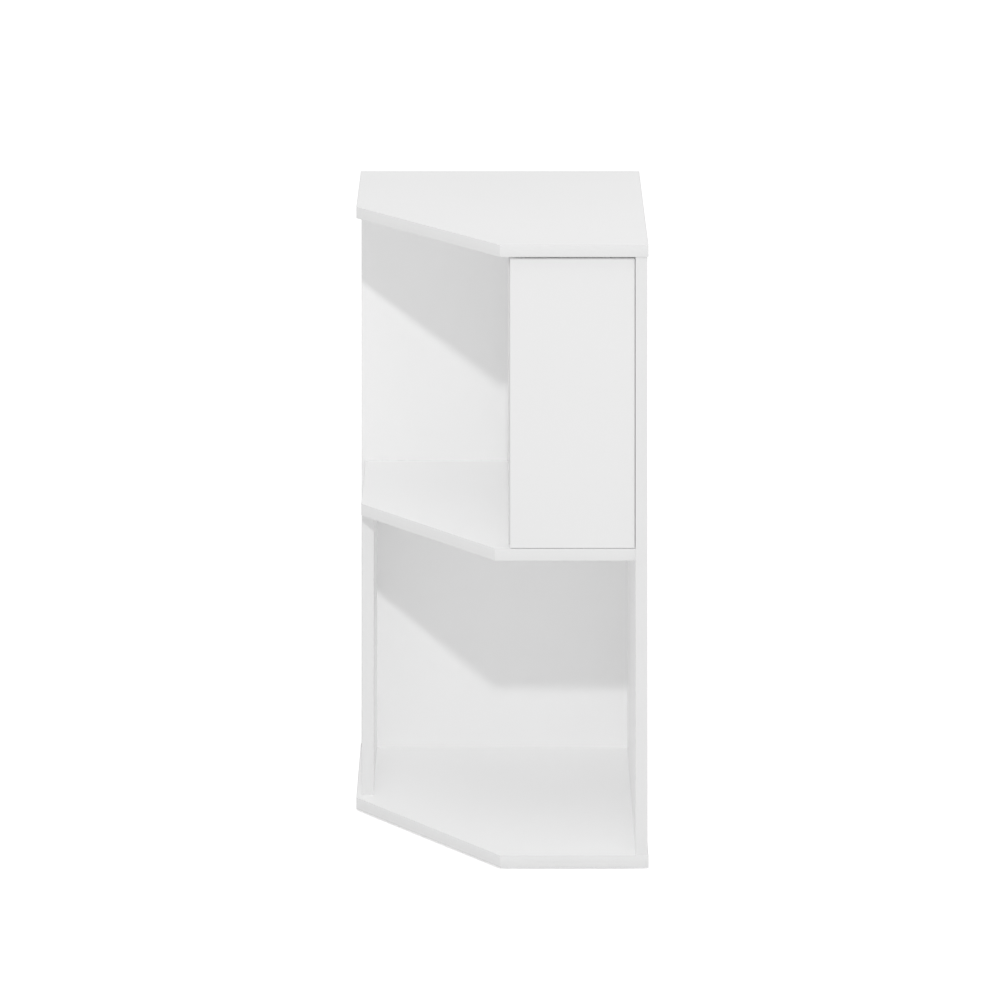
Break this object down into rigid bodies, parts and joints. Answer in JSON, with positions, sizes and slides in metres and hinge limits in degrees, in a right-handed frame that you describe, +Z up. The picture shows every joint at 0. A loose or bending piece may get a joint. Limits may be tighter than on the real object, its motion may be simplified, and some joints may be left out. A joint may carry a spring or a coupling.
{
  "type": "corner shelf cabinet",
  "caption": "Corner shelf cabinet with a five-sided top, shelf and bottom, open compartments and a small cupboard with a push-to-open door.",
  "frame": {"origin": "on the floor under the middle of the cabinet's outline", "axes": "+Z up; the open front faces -Y and the back is at +Y; the cupboard is at +X"},
  "size_m": [0.4, 0.4, 0.841],
  "materials": {
    "coated_board": "white melamine-faced chipboard, satin",
    "edge_band": "white plastic edge band, satin",
    "zinc": "bare die-cast zinc",
    "zinc_plated_steel": "zinc plated",
    "nickel_steel": "nickel plated, satin",
    "beech": "bare ribbed beech",
    "white_cap": "moulded, satin",
    "glide_plastic": "moulded, matte",
    "latch_plastic": "moulded, satin",
    "magnet": "bare",
    "clear_bumper": "clear soft plastic"
  },
  "bodies": {
    "carcass": {"top_panel": "coated_board", "bottom_panel": "coated_board", "middle_shelf": "coated_board", "right_side_panel": "coated_board", "back_panel": "coated_board", "left_side_panel": "coated_board", "cupboard_partition": "coated_board", "top_edge_band": "edge_band", "bottom_edge_band": "edge_band", "shelf_edge_band": "edge_band", "side_edge_band": "edge_band", "back_edge_band": "edge_band", "left_edge_band": "edge_band", "partition_edge_band": "edge_band", "cam_housings": "zinc", "cam_bolts": "zinc_plated_steel", "cam_cover_caps": "white_cap", "wooden_dowels": "beech", "panel_screws": "zinc_plated_steel", "floor_glides": "glide_plastic", "glide_nails": "zinc_plated_steel", "hinge_arms": "nickel_steel", "hinge_plates": "nickel_steel", "hinge_plate_screws": "zinc_plated_steel", "hinge_arm_screws": "zinc_plated_steel", "hinge_pins": "zinc_plated_steel", "latch_housing": "latch_plastic", "door_bumpers": "clear_bumper"},
    "door": {"cupboard_door": "coated_board", "door_edge_band": "edge_band", "hinge_cups": "nickel_steel", "hinge_cup_screws": "zinc_plated_steel", "strike_plate": "nickel_steel", "strike_screw": "zinc_plated_steel"},
    "hinge_link": {"hinge_links": "nickel_steel"},
    "latch": {"latch_plunger": "latch_plastic", "latch_magnet": "magnet"}
  },
  "joints": [
    {"name": "door_swing", "type": "hinge", "parent": "carcass", "child": "door", "pos_m": [0.1817, -0.193, 0.6], "axis": [0, 0, 1], "range_deg": [0, 95]},
    {"name": "hinge_link_swing", "type": "hinge", "parent": "carcass", "child": "hinge_link", "pos_m": [0.1457, -0.1858, 0.6], "axis": [0, 0, 1], "range_deg": [-40, 0]},
    {"name": "latch_stroke", "type": "slide", "parent": "carcass", "child": "latch", "axis": [0, -1, 0], "range_m": [0, 0.0125]}
  ],
  "couplings": [
    {"joint": "hinge_link_swing", "follows": "door_swing", "ratio": -0.41},
    {"joint": "latch_stroke", "follows": "door_swing", "m_per_rad": 0.00724}
  ]
}
